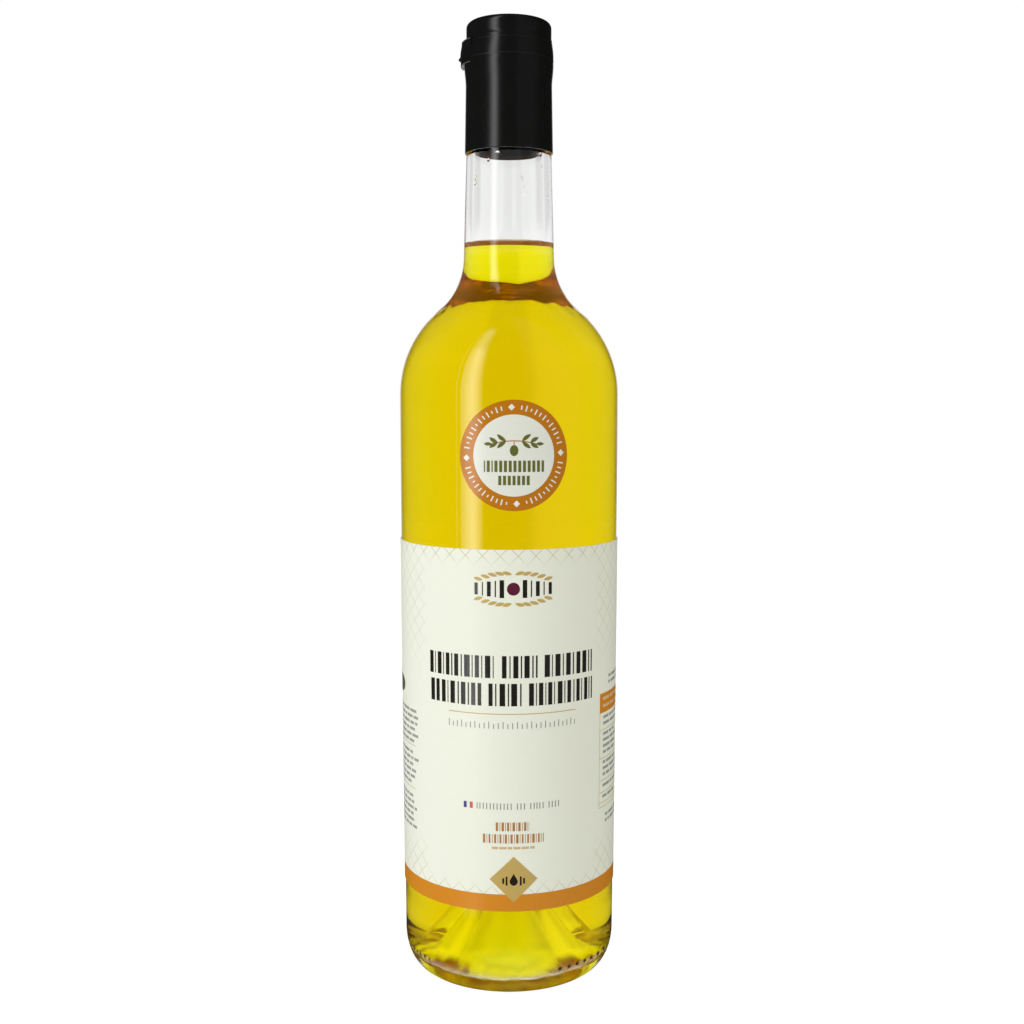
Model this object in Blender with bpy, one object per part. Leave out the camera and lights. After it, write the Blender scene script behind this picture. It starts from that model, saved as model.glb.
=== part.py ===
"""A 75 cl olive oil bottle: clear round glass with a punted base, filled with oil to the neck.

Five solids stand on the plane z = 0 round the Z axis, and the bottle's front faces -Y:
the glass, the oil inside it, the sealing capsule over the mouth, the wrap-round paper
label and the round paper seal above it. Azimuths are counted from the front, positive
towards +X. Outlines are (radius, height) pairs.
"""

from math import cos, exp, hypot, pi, radians, sin, tan

import bmesh
import bpy

MM = 0.001
GAP = 0.3 * MM
SIDES = 48

# Glass, outside
HEEL_HEIGHT = 11.7 * MM
HEEL_RADIUS = 36.6 * MM
BASE_RADIUS = 30.6 * MM
BODY_RADIUS = 37.4 * MM
TAPER_TOP = 165 * MM
SHOULDER_HEIGHT = 199 * MM
DOME_CENTRE_RADIUS = 0.4 * MM
DOME_END = radians(50.26)
THROAT_RADIUS = 24 * MM
NECK_RADIUS = 14.4 * MM
NECK_TOP = 279 * MM
FINISH_RADIUS = 13.98 * MM
FINISH_STEP = 0.7 * MM
LIP_RADIUS = 13.2 * MM
LIP_ROUNDING = 0.8 * MM
MOUTH_HEIGHT = 320.9 * MM

# Glass, inside
WALL = 3.6 * MM
FLOOR = 4.0 * MM
BORE_RADIUS = 11.2 * MM
MOUTH_RADIUS = 10.4 * MM
INNER_HEEL_HEIGHT = 12.6 * MM

# Punt: a trumpet curve, a cone and a round nose
PUNT_RADIUS = 26 * MM
PUNT_LIFT = 0.6 * MM
REST_INNER_RADIUS = 27.2 * MM
TRUMPET_RADIUS = 11.6 * MM
NOSE_RADIUS = 9.9 * MM
CONE_TILT = radians(24.4)

# Oil
OIL_LEVEL = 250 * MM
MENISCUS_HEIGHT = 2.0 * MM
MENISCUS_DECAY = 1.9 * MM
MENISCUS_STEPS = (0.8, 1.9, 3.6, 6.0)

# Capsule
CAPSULE_FOOT = 280 * MM
CAPSULE_FOOT_RADIUS = 14.92 * MM
CAPSULE_WAIST = 302 * MM
CAPSULE_WAIST_RADIUS = 14.53 * MM
SWELL_STEPS = 4
STRIP_FOOT = 309 * MM
STRIP_TOP = 316.2 * MM
STRIP_RADIUS = 15.0 * MM
CROWN_FOOT = 317.4 * MM
CROWN_RADIUS = 14.3 * MM
CROWN_ROUNDING = 1.8 * MM
CAPSULE_TOP = 322.8 * MM

# Tear tab: a flat tongue at the end of the strip, proud of the capsule on its left
TAB_START = radians(-56)
TAB_END = radians(-106)
TAB_ROOT_RADIUS = 14.6 * MM
TAB_PROUD = 1.4 * MM
TAB_FOOT = 309.2 * MM
TAB_TOP = 316.0 * MM
TAB_RISE = 0.62
TAB_EDGE = 0.25
TAB_FULLNESS = 0.35
TAB_COLUMNS = 9
TAB_ROWS = 6
NUB_AZIMUTH = radians(-94)
NUB_HEIGHT = 312 * MM
NUB_PROUD = 0.7 * MM
NUB_SPREAD = radians(5)
NUB_TALL = 1.1 * MM

# Paper
LABEL_FOOT = 30.1 * MM
LABEL_TOP = 149.9 * MM
LABEL_HALF_ANGLE = radians(157.5)
LABEL_THICKNESS = 0.35 * MM
SEAL_HEIGHT = 180 * MM
SEAL_AZIMUTH = radians(2.6)
SEAL_RADIUS = 17.7 * MM
SEAL_RINGS = 5
SEAL_SIDES = 36


def clear_scene():
    for thing in list(bpy.data.objects):
        bpy.data.objects.remove(thing, do_unlink=True)


def material(name, colour, roughness, metallic=0.0, transmission=0.0, alpha=1.0):
    made = bpy.data.materials.new(name)
    made.use_nodes = True
    shader = made.node_tree.nodes["Principled BSDF"]
    shader.inputs["Base Color"].default_value = (*colour, 1.0)
    shader.inputs["Roughness"].default_value = roughness
    shader.inputs["Metallic"].default_value = metallic
    shader.inputs["Transmission Weight"].default_value = transmission
    shader.inputs["Alpha"].default_value = alpha
    return made


def arc(centre, radius_r, radius_z, start, end, steps):
    """Points on an ellipse round centre, from the angle start to the angle end."""
    angles = [start + (end - start) * step / steps for step in range(steps + 1)]
    return [(centre[0] + radius_r * cos(a), centre[1] + radius_z * sin(a)) for a in angles]


def body_radius(height):
    """The outer radius of the body, which widens a little from its heel to its shoulder."""
    share = min(1.0, max(0.0, (height - HEEL_HEIGHT) / (TAPER_TOP - HEEL_HEIGHT)))
    return HEEL_RADIUS + share * (BODY_RADIUS - HEEL_RADIUS)


DOME_CENTRE = (DOME_CENTRE_RADIUS, SHOULDER_HEIGHT)
DOME_RADIUS = BODY_RADIUS - DOME_CENTRE_RADIUS
THROAT_CENTRE = (
    DOME_CENTRE_RADIUS + (DOME_RADIUS + THROAT_RADIUS) * cos(DOME_END),
    SHOULDER_HEIGHT + (DOME_RADIUS + THROAT_RADIUS) * sin(DOME_END),
)
TRUMPET_CENTRE = (PUNT_RADIUS, PUNT_LIFT + TRUMPET_RADIUS)
CONE_FOOT_RADIUS = PUNT_RADIUS - TRUMPET_RADIUS * cos(CONE_TILT)
CONE_FOOT_HEIGHT = TRUMPET_CENTRE[1] - TRUMPET_RADIUS * sin(CONE_TILT)
CONE_RISE = (CONE_FOOT_RADIUS - NOSE_RADIUS * cos(CONE_TILT)) / tan(CONE_TILT)
NOSE_CENTRE = (0.0, CONE_FOOT_HEIGHT + CONE_RISE - NOSE_RADIUS * sin(CONE_TILT))


def shoulder(inset, steps_dome, steps_throat):
    """The dome and the throat above it, moved inwards by inset."""
    dome = arc(DOME_CENTRE, DOME_RADIUS - inset, DOME_RADIUS - inset, 0, DOME_END, steps_dome)
    bend = THROAT_RADIUS + inset
    throat = arc(THROAT_CENTRE, bend, bend, pi + DOME_END, pi, steps_throat)
    return dome + throat[1:]


def punt(offset):
    """From the axis outwards: the nose and the trumpet, moved into the bottle by offset."""
    nose_size = NOSE_RADIUS + offset
    nose = arc(NOSE_CENTRE, nose_size, nose_size, pi / 2, CONE_TILT, 4)
    flare = TRUMPET_RADIUS - offset
    trumpet = arc(TRUMPET_CENTRE, flare, flare, pi + CONE_TILT, 1.5 * pi, 4)
    return [(0.0, nose[0][1])] + nose[1:] + trumpet


def inside(inset):
    """The glass's inner surface from the floor's middle to the top of the throat.

    inset moves it further in, which gives the surface of the oil.
    """
    outline = punt(FLOOR + inset)
    floor_height = outline[-1][1]
    side = HEEL_RADIUS - WALL - inset
    centre = (PUNT_RADIUS, INNER_HEEL_HEIGHT)
    outline += arc(centre, side - PUNT_RADIUS, INNER_HEEL_HEIGHT - floor_height, -pi / 2, 0, 4)[1:]
    outline.append((BODY_RADIUS - WALL - inset, TAPER_TOP))
    return outline + shoulder(WALL + inset, 7, 4)


def outside():
    """The glass's outer surface from the mouth down to the rim that it rests on."""
    lip_centre = (LIP_RADIUS - LIP_ROUNDING, MOUTH_HEIGHT - LIP_ROUNDING)
    outline = arc(lip_centre, LIP_ROUNDING, LIP_ROUNDING, pi / 2, 0, 2)
    outline.append((FINISH_RADIUS, NECK_TOP + FINISH_STEP))
    outline.append((NECK_RADIUS, NECK_TOP))
    outline += reversed(shoulder(0.0, 8, 5))
    outline.append((BODY_RADIUS, TAPER_TOP))
    heel_width = HEEL_RADIUS - BASE_RADIUS
    outline += arc((BASE_RADIUS, HEEL_HEIGHT), heel_width, HEEL_HEIGHT, 0, -pi / 2, 6)
    outline.append((REST_INNER_RADIUS, 0.0))
    return outline


def bore_radius(height):
    """The radius of the neck's bore, which narrows from the throat to the mouth."""
    root = THROAT_CENTRE[0] - THROAT_RADIUS - WALL
    share = (height - THROAT_CENTRE[1]) / (NECK_TOP - THROAT_CENTRE[1])
    return root + share * (BORE_RADIUS - root)


def turned(name, outline, finish):
    """A solid of revolution, from an outline that starts and ends on the axis."""
    mesh = bmesh.new()
    points = [mesh.verts.new((radius, 0.0, height)) for radius, height in outline]
    edges = [mesh.edges.new(pair) for pair in zip(points, points[1:])]
    bmesh.ops.spin(
        mesh,
        geom=points + edges,
        cent=(0, 0, 0),
        axis=(0, 0, 1),
        angle=2 * pi,
        steps=SIDES,
        use_merge=True,
    )
    bmesh.ops.remove_doubles(mesh, verts=mesh.verts[:], dist=0.01 * MM)
    return finished(name, mesh, finish)


def finished(name, mesh, finish):
    """The bmesh as an object, its faces pointing out and its round faces smooth."""
    bmesh.ops.recalc_face_normals(mesh, faces=mesh.faces[:])
    data = bpy.data.meshes.new(name)
    mesh.to_mesh(data)
    mesh.free()
    data.shade_smooth()
    data.set_sharp_from_angle(angle=radians(35))
    data.materials.append(finish)
    thing = bpy.data.objects.new(name, data)
    bpy.context.collection.objects.link(thing)
    return thing


def around(azimuth, height, radius):
    return (radius * sin(azimuth), -radius * cos(azimuth), height)


def close_patch(mesh, other_radius):
    """Makes a patch round the axis a closed solid, its other side at other_radius(radius)."""
    grown = bmesh.ops.extrude_face_region(mesh, geom=mesh.faces[:])["geom"]
    for point in (item for item in grown if isinstance(item, bmesh.types.BMVert)):
        radius = hypot(point.co.x, point.co.y)
        point.co.x *= other_radius(radius) / radius
        point.co.y *= other_radius(radius) / radius


def paper_back(radius):
    return radius + LABEL_THICKNESS


def make_glass(finish):
    outline = inside(0.0)
    outline.append((BORE_RADIUS, NECK_TOP))
    outline.append((MOUTH_RADIUS, MOUTH_HEIGHT))
    outline += outside()
    outline += reversed(punt(0.0))
    return turned("bottle_glass", outline, finish)


def make_oil(finish):
    outline = inside(GAP)
    rim_height = OIL_LEVEL + MENISCUS_HEIGHT
    rim_radius = bore_radius(rim_height) - GAP
    outline.append((rim_radius, rim_height))
    for step in MENISCUS_STEPS:
        rise = MENISCUS_HEIGHT * exp(-step * MM / MENISCUS_DECAY)
        outline.append((rim_radius - step * MM, OIL_LEVEL + rise))
    outline.append((0.0, OIL_LEVEL))
    return turned("olive_oil", outline, finish)


def make_capsule(finish):
    ceiling = MOUTH_HEIGHT + GAP
    outline = [(0.0, ceiling)]
    outline.append((LIP_RADIUS - LIP_ROUNDING / 2 + GAP, ceiling))
    outline.append((LIP_RADIUS + GAP, ceiling - LIP_ROUNDING))
    outline.append((FINISH_RADIUS + GAP, CAPSULE_FOOT))
    outline.append((CAPSULE_FOOT_RADIUS, CAPSULE_FOOT))
    outline.append((CAPSULE_WAIST_RADIUS, CAPSULE_WAIST))
    for step in range(1, SWELL_STEPS + 1):
        share = step / SWELL_STEPS
        rise = (1 - cos(pi * share)) / 2
        radius = CAPSULE_WAIST_RADIUS + rise * (STRIP_RADIUS - CAPSULE_WAIST_RADIUS)
        outline.append((radius, CAPSULE_WAIST + share * (STRIP_FOOT - CAPSULE_WAIST)))
    outline.append((STRIP_RADIUS, STRIP_TOP))
    outline.append((CROWN_RADIUS, CROWN_FOOT))
    centre = (CROWN_RADIUS - CROWN_ROUNDING, CAPSULE_TOP - CROWN_ROUNDING)
    outline += arc(centre, CROWN_ROUNDING, CROWN_ROUNDING, 0, pi / 2, 4)
    outline.append((0.0, CAPSULE_TOP))
    capsule = turned("capsule", outline, finish)
    union = capsule.modifiers.new("tear_tab", "BOOLEAN")
    union.operation = "UNION"
    union.object = make_tab(finish)
    return capsule


def tab_proud(along, up):
    """How far the tongue stands out: it rises from its start and is rounded at its edges."""
    lift = min(1.0, along / TAB_RISE)
    crown = max(TAB_EDGE, sin(pi * up)) ** TAB_FULLNESS
    return TAB_PROUD * lift * crown


def nub_proud(azimuth, height):
    across = (azimuth - NUB_AZIMUTH) / NUB_SPREAD
    up = (height - NUB_HEIGHT) / NUB_TALL
    return NUB_PROUD * exp(-(across**2) - up**2)


def make_tab(finish):
    """The tear strip's tongue, which the capsule takes in by a union."""
    mesh = bmesh.new()
    front = []
    for column in range(TAB_COLUMNS + 1):
        along = column / TAB_COLUMNS
        azimuth = TAB_START + along * (TAB_END - TAB_START)
        line = []
        for row in range(TAB_ROWS + 1):
            up = row / TAB_ROWS
            height = TAB_FOOT + up * (TAB_TOP - TAB_FOOT)
            radius = STRIP_RADIUS + tab_proud(along, up) + nub_proud(azimuth, height)
            line.append(mesh.verts.new(around(azimuth, height, radius)))
        front.append(line)
    for left, right in zip(front, front[1:]):
        for low, high in zip(range(TAB_ROWS), range(1, TAB_ROWS + 1)):
            mesh.faces.new((left[low], left[high], right[high], right[low]))
    close_patch(mesh, lambda radius: TAB_ROOT_RADIUS)
    tab = finished("tear_tab", mesh, finish)
    tab.hide_render = True
    tab.display_type = "WIRE"
    return tab


def make_label(finish):
    """The wrap-round label, whose ends stop short of each other at the back."""
    mesh = bmesh.new()
    columns = round(2 * LABEL_HALF_ANGLE / (2 * pi / SIDES))
    foot, top = [], []
    for column in range(columns + 1):
        azimuth = -LABEL_HALF_ANGLE + 2 * LABEL_HALF_ANGLE * column / columns
        for line, height in ((foot, LABEL_FOOT), (top, LABEL_TOP)):
            line.append(mesh.verts.new(around(azimuth, height, body_radius(height) + GAP)))
    for column in range(columns):
        mesh.faces.new((foot[column], foot[column + 1], top[column + 1], top[column]))
    close_patch(mesh, paper_back)
    return finished("label", mesh, finish)


def make_seal(finish):
    """The round seal, bent to the body above the label."""
    mesh = bmesh.new()
    middle_radius = body_radius(SEAL_HEIGHT) + GAP
    rings = [[mesh.verts.new(around(SEAL_AZIMUTH, SEAL_HEIGHT, middle_radius))]]
    for ring in range(1, SEAL_RINGS + 1):
        size = SEAL_RADIUS * ring / SEAL_RINGS
        line = []
        for side in range(SEAL_SIDES):
            turn = 2 * pi * side / SEAL_SIDES
            height = SEAL_HEIGHT + size * sin(turn)
            azimuth = SEAL_AZIMUTH + size * cos(turn) / BODY_RADIUS
            line.append(mesh.verts.new(around(azimuth, height, body_radius(height) + GAP)))
        rings.append(line)
    for side in range(SEAL_SIDES):
        after = (side + 1) % SEAL_SIDES
        mesh.faces.new((rings[0][0], rings[1][side], rings[1][after]))
        for inner, outer in zip(rings[1:], rings[2:]):
            mesh.faces.new((inner[side], outer[side], outer[after], inner[after]))
    close_patch(mesh, paper_back)
    return finished("seal", mesh, finish)


def main():
    clear_scene()
    make_glass(material("clear_glass", (0.95, 0.97, 0.95), 0.02, transmission=1.0, alpha=0.35))
    make_oil(material("golden_oil", (0.72, 0.56, 0.004), 0.03, transmission=0.6))
    make_capsule(material("black_capsule", (0.006, 0.0065, 0.006), 0.32))
    make_label(material("label_paper", (0.80, 0.79, 0.68), 0.55))
    make_seal(material("seal_paper", (0.68, 0.33, 0.09), 0.5))


main()
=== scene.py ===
import random
from functools import reduce
from math import ceil, cos, exp, hypot, pi, radians, sin, tan

import bmesh
import bpy
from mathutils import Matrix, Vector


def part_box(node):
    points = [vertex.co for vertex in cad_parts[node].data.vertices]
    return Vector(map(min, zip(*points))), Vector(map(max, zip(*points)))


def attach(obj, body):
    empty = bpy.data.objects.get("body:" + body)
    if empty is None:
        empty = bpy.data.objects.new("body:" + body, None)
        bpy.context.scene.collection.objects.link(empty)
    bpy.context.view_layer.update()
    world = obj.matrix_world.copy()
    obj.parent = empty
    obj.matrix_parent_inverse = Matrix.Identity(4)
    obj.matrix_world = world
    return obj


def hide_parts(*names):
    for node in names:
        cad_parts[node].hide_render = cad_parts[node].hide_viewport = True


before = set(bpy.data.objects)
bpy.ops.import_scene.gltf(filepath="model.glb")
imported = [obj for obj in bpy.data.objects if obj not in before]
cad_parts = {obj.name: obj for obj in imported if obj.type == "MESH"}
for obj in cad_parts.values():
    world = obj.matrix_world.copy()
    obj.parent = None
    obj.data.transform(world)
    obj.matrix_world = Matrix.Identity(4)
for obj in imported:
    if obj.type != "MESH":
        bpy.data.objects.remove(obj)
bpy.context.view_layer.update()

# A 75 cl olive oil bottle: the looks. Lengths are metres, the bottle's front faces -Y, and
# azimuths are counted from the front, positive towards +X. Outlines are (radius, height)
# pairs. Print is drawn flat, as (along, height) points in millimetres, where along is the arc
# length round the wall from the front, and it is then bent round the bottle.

MM = 0.001
BODY = "root"

GLASS_LOW, GLASS_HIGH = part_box("bottle_glass")
CAPSULE_LOW, CAPSULE_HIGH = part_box("capsule")
LABEL_LOW, LABEL_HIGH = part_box("label")
SEAL_LOW, SEAL_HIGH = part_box("seal")
OIL_LOW, OIL_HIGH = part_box("olive_oil")

# Glass, outside
BODY_RADIUS = GLASS_HIGH.y
HEEL_HEIGHT = 11.7 * MM
HEEL_RADIUS = BODY_RADIUS - 0.8 * MM
BASE_RADIUS = 30.6 * MM
TAPER_TOP = 165 * MM
SHOULDER_HEIGHT = 199 * MM
DOME_CENTRE_RADIUS = 0.4 * MM
DOME_END = radians(50.26)
THROAT_RADIUS = 24 * MM
NECK_RADIUS = 14.4 * MM
NECK_TOP = 280.4 * MM
FINISH_RADIUS = 13.98 * MM
FINISH_STEP = 0.7 * MM
LIP_RADIUS = 13.2 * MM
LIP_ROUNDING = 0.8 * MM
MOUTH_HEIGHT = GLASS_HIGH.z

# Glass, inside
WALL = 3.6 * MM
FLOOR = 4.0 * MM
BORE_RADIUS = 11.2 * MM
MOUTH_RADIUS = 10.4 * MM
INNER_HEEL_HEIGHT = 12.6 * MM

# Punt: a trumpet curve, a cone and a round nose
PUNT_RADIUS = 26 * MM
PUNT_LIFT = 0.6 * MM
REST_INNER_RADIUS = 27.2 * MM
TRUMPET_RADIUS = 11.6 * MM
NOSE_RADIUS = 9.9 * MM
CONE_TILT = radians(24.4)

DOME_CENTRE = (DOME_CENTRE_RADIUS, SHOULDER_HEIGHT)
DOME_RADIUS = BODY_RADIUS - DOME_CENTRE_RADIUS
THROAT_CENTRE = (
    DOME_CENTRE_RADIUS + (DOME_RADIUS + THROAT_RADIUS) * cos(DOME_END),
    SHOULDER_HEIGHT + (DOME_RADIUS + THROAT_RADIUS) * sin(DOME_END),
)
TRUMPET_CENTRE = (PUNT_RADIUS, PUNT_LIFT + TRUMPET_RADIUS)
CONE_FOOT_RADIUS = PUNT_RADIUS - TRUMPET_RADIUS * cos(CONE_TILT)
CONE_FOOT_HEIGHT = TRUMPET_CENTRE[1] - TRUMPET_RADIUS * sin(CONE_TILT)
CONE_RISE = (CONE_FOOT_RADIUS - NOSE_RADIUS * cos(CONE_TILT)) / tan(CONE_TILT)
NOSE_CENTRE = (0.0, CONE_FOOT_HEIGHT + CONE_RISE - NOSE_RADIUS * sin(CONE_TILT))

# Turned surfaces
TURN_SIDES = 288
SHARP_ANGLE = radians(22)
KNURLS = 72
KNURL_DEPTH = 0.22 * MM
KNURL_REACH = 1.6 * MM
KNURL_HEIGHT = 1.2 * MM
AXIS = 0.001 * MM
OUTER_RIPPLE = 0.006 * MM
INNER_RIPPLE = 0.05 * MM
FLOOR_RIPPLE = 0.22 * MM
FLOOR_RIPPLE_REACH = 8 * MM
FLOOR_RIPPLE_END = 32 * MM
PUNT_RIPPLE = 0.4
FLOOR_ZONE = 60 * MM

# Oil
OIL_LEVEL = OIL_HIGH.z - 3.5 * MM
MENISCUS_HEIGHT = 1.9 * MM
MENISCUS_WIDTH = 5.0 * MM
MENISCUS_STEPS = 24
INTO_WALL = 0.15 * MM

# Capsule
CAPSULE_FOOT = CAPSULE_LOW.z
CAPSULE_FOOT_RADIUS = 14.92 * MM
CAPSULE_WAIST = 302 * MM
CAPSULE_WAIST_RADIUS = 14.53 * MM
CAPSULE_INSIDE = 0.08 * MM
STRIP_FOOT = 309 * MM
STRIP_TOP = 316.2 * MM
STRIP_RADIUS = 15.0 * MM
STRIP_SHOULDER = 311.6 * MM
STRIP_TOP_RADIUS = 14.5 * MM
GROOVE_DEPTH = 0.06 * MM
GROOVE_HALF = 0.22 * MM
GROOVE_FLOOR_HALF = 0.066 * MM
CROWN_FOOT = 317.4 * MM
CROWN_RADIUS = 14.3 * MM
CROWN_ROUNDING = 1.8 * MM
CAPSULE_TOP = CAPSULE_HIGH.z
CAPSULE_FOOT_EDGE = 0.25 * MM
CAPSULE_SIDES = 192
SWELL_STEPS = 12

# Tear tab
TAB_START = radians(-56)
TAB_END = radians(-106)
TAB_ROOT_RADIUS = 14.6 * MM
TAB_PROUD = 1.4 * MM
TAB_FOOT = 308.7 * MM
TAB_TOP = 316.5 * MM
TAB_RISE = 0.62
TAB_EDGE = 0.5
TAB_LEAN = 0.35
TAB_FULLNESS = 0.35
TAB_COLUMNS = 48
TAB_ROWS = 28
NUB_AZIMUTH = radians(-94)
NUB_HEIGHT = 311.3 * MM
NUB_PROUD = 0.75 * MM
NUB_SPREAD = radians(4)
NUB_TALL = 0.6 * MM
RIM_SPAN = (0.04, 0.46)
RIM_ROWS = ((0.0, 0.035), (0.965, 1.0))
RIM_COLUMNS = 24
RIM_PROUD = 0.04 * MM
RIM_ROOT = 0.08 * MM
STRIP_LINES = (310.2 * MM, 315.5 * MM)
STRIP_LINE_HALF = 0.09 * MM
STRIP_LINE_COLUMNS = 144
STRIP_LINE_PROUD = 0.03 * MM
STRIP_LINE_ROOT = 0.08 * MM

# Paper and ink: what is drawn flat is in millimetres, along the wall and up it
LABEL_FOOT = LABEL_LOW.z / MM
LABEL_TOP = LABEL_HIGH.z / MM
LABEL_EDGE = radians(157.5) * BODY_RADIUS / MM
LABEL_COLUMNS = 360
LABEL_ROWS = 30
SEAL_ALONG = radians(2.6) * BODY_RADIUS / MM
SEAL_HEIGHT = (SEAL_LOW.z + SEAL_HIGH.z) / 2 / MM
SEAL_RADIUS = (SEAL_HIGH.z - SEAL_LOW.z) / 2 / MM
PAPER_BACK = 0.04 * MM
PAPER_FACE = 0.30 * MM
INK = 0.03 * MM
INK_ROOT = 0.01 * MM
PRINT_STEP = 1.4
LEAF_STEPS = 14
DROP_STEPS = 36

# The camera that took the photo
EYE = (1.04 * MM, -454 * MM, 201.7 * MM)
EYE_TILT = radians(5.44)
LENS = 46.17
SENSOR = 36.0

# The softbox as the glass and the capsule mirror it: how bright it is across its width
SOFTBOX_RADIANCE = 4.5
SOFTBOX_START = radians(-60)
SOFTBOX_END = radians(-22)
SOFTBOX_PROFILE = (
    (0.0, 0.0),
    (0.09, 0.0),
    (0.11, 0.12),
    (0.14, 0.12),
    (0.16, 0.0),
    (0.235, 0.0),
    (0.25, 0.33),
    (0.33, 0.40),
    (0.45, 0.76),
    (0.56, 1.0),
    (0.63, 0.95),
    (0.74, 0.52),
    (0.82, 0.24),
    (0.88, 0.0),
    (1.0, 0.0),
)

# How far up the softbox reaches, a fill beside it and a rim behind. A ramp is (start, end,
# low, high), and a band is (start, full from, full to, end, level), of 1 where it has none.
SOFTBOX_HEIGHTS = (
    (0.68, 0.76, 1.0, 0.5),
    (0.90, 0.96, 1.0, 0.0),
    (-0.395, -0.37, 0.0, 1.0),
)
FILL = (radians(14), radians(30), radians(62), radians(95), 0.11)
RIM_LIGHT = (0.90, 0.985, 0.012, 0.90)

# The light that comes through the glass, as ramps and bands over a direction's angle from
# straight behind the bottle, or over how far it points up
STRIP = (radians(6), radians(10), 0.89, 0.98)
STRIP_NARROWS = (0.09, 0.11, 1.0, 4.0)
SIDES = (radians(55), radians(92), 1.0, 0.62)
FLAG = (radians(100), radians(118), 1.0, 0.45)
FLAG_END = (radians(130), radians(155), 0.0, 1.0)
LOWERED = (-0.66, -0.60, -0.42, -0.34)
SHOULDER_LIFT = (0.05, 0.07, 0.09, 0.11, 0.06)
NECK_LIFT = (0.20, 0.25, 0.0, 0.32)
NECK_BAND = (0.10, 0.12, 0.19, 0.215)
NECK_EDGE = (radians(14), radians(24), radians(45), radians(60), 0.20)
ABOVE_DIM = (0.10, 0.12, 0.0, 0.03)
STREAK = (radians(2), radians(4), 0.12, 0.0)
STREAK_TOP = (-0.70, -0.64, 1.0, 0.0)
OVERHEAD = (0.60, 0.90, 1.0, 0.45)
FRONT = (0.05, 0.35, 1.0, 0.0)
FRONT_TOP = (-0.74, -0.68, 1.0, 0.0)
FRONT_LOW_COLOUR = (0.31, 0.42, 0.28)

# The light on what is matt, the key light and the floor
WHITE = (1.0, 1.0, 1.0)
AMBIENT_LEFT = (0.515, 0.515, 0.505)
AMBIENT_RIGHT = (0.515, 0.50, 0.425)
KEY_AZIMUTH = radians(-55)
KEY_HEIGHT = 0.25
KEY_DISTANCE = 1.3
KEY_SIZE = (0.62, 1.7)
KEY_RADIANCE = 3.15
FLOOR_HALF = 3.0
FLOOR_DROP = -0.05 * MM


def arc(centre, radius_r, radius_z, start, end, steps):
    """Points on an ellipse round centre, from the angle start to the angle end."""
    angles = [start + (end - start) * step / steps for step in range(steps + 1)]
    return [(centre[0] + radius_r * cos(a), centre[1] + radius_z * sin(a)) for a in angles]


def straight(start, end, steps):
    """Points on the line from start to end, without its start."""
    shares = [step / steps for step in range(1, steps + 1)]
    return [tuple(a + (b - a) * share for a, b in zip(start, end)) for share in shares]


def smooth(value):
    value = min(1.0, max(0.0, value))
    return value * value * (3 - 2 * value)


def body_radius(height):
    """The outer radius of the body, which widens a little from its heel to its shoulder."""
    share = min(1.0, max(0.0, (height - HEEL_HEIGHT) / (TAPER_TOP - HEEL_HEIGHT)))
    return HEEL_RADIUS + share * (BODY_RADIUS - HEEL_RADIUS)


def bore_radius(height):
    """The radius of the neck's bore, which narrows from the throat to the mouth."""
    root = THROAT_CENTRE[0] - THROAT_RADIUS - WALL
    share = (height - THROAT_CENTRE[1]) / (NECK_TOP - THROAT_CENTRE[1])
    return root + share * (BORE_RADIUS - root)


def shoulder(inset):
    """The dome and the throat above it, moved inwards by inset."""
    dome = arc(DOME_CENTRE, DOME_RADIUS - inset, DOME_RADIUS - inset, 0, DOME_END, 40)
    bend = THROAT_RADIUS + inset
    return dome + arc(THROAT_CENTRE, bend, bend, pi + DOME_END, pi, 24)[1:]


def punt(offset):
    """From the axis outwards: the nose and the trumpet, moved into the bottle by offset."""
    nose_size = NOSE_RADIUS + offset
    nose = arc(NOSE_CENTRE, nose_size, nose_size, pi / 2, CONE_TILT, 18)
    flare = TRUMPET_RADIUS - offset
    trumpet = arc(TRUMPET_CENTRE, flare, flare, pi + CONE_TILT, 1.5 * pi, 18)
    return [(0.0, nose[0][1])] + nose[1:] + straight(nose[-1], trumpet[0], 6) + trumpet[1:]


def inside(inset):
    """The glass's inner surface from the floor's middle to the top of the throat."""
    outline = punt(FLOOR + inset)
    floor_height = outline[-1][1]
    side = HEEL_RADIUS - WALL - inset
    centre = (PUNT_RADIUS, INNER_HEEL_HEIGHT)
    outline += arc(centre, side - PUNT_RADIUS, INNER_HEEL_HEIGHT - floor_height, -pi / 2, 0, 20)[1:]
    outline += straight(outline[-1], (BODY_RADIUS - WALL - inset, TAPER_TOP), 24)
    outline += straight(outline[-1], (BODY_RADIUS - WALL - inset, SHOULDER_HEIGHT), 6)[:-1]
    return outline + shoulder(WALL + inset)


def outside():
    """The glass's outer surface from the mouth down to the rim that it rests on."""
    lip_centre = (LIP_RADIUS - LIP_ROUNDING, MOUTH_HEIGHT - LIP_ROUNDING)
    outline = arc(lip_centre, LIP_ROUNDING, LIP_ROUNDING, pi / 2, 0, 6)
    outline += straight(outline[-1], (FINISH_RADIUS, NECK_TOP + FINISH_STEP), 6)
    outline += straight(outline[-1], (NECK_RADIUS, NECK_TOP), 2)
    wall = list(reversed(shoulder(0.0)))
    outline += straight(outline[-1], wall[0], 10) + wall[1:]
    outline += straight(outline[-1], (BODY_RADIUS, TAPER_TOP), 6)
    outline += straight(outline[-1], (HEEL_RADIUS, HEEL_HEIGHT), 24)
    heel_width = HEEL_RADIUS - BASE_RADIUS
    outline += arc((BASE_RADIUS, HEEL_HEIGHT), heel_width, HEEL_HEIGHT, 0, -pi / 2, 28)[1:]
    return outline + straight(outline[-1], (REST_INNER_RADIUS, 0.0), 4)


def around(azimuth, height, radius):
    return (radius * sin(azimuth), -radius * cos(azimuth), height)


def wave(azimuth, height, lobes, turn, phase):
    """A soft wave with this many lobes round the bottle, which also turns with height."""
    return sin(lobes * azimuth + turn * height / MM * 0.01 + phase)


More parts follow.
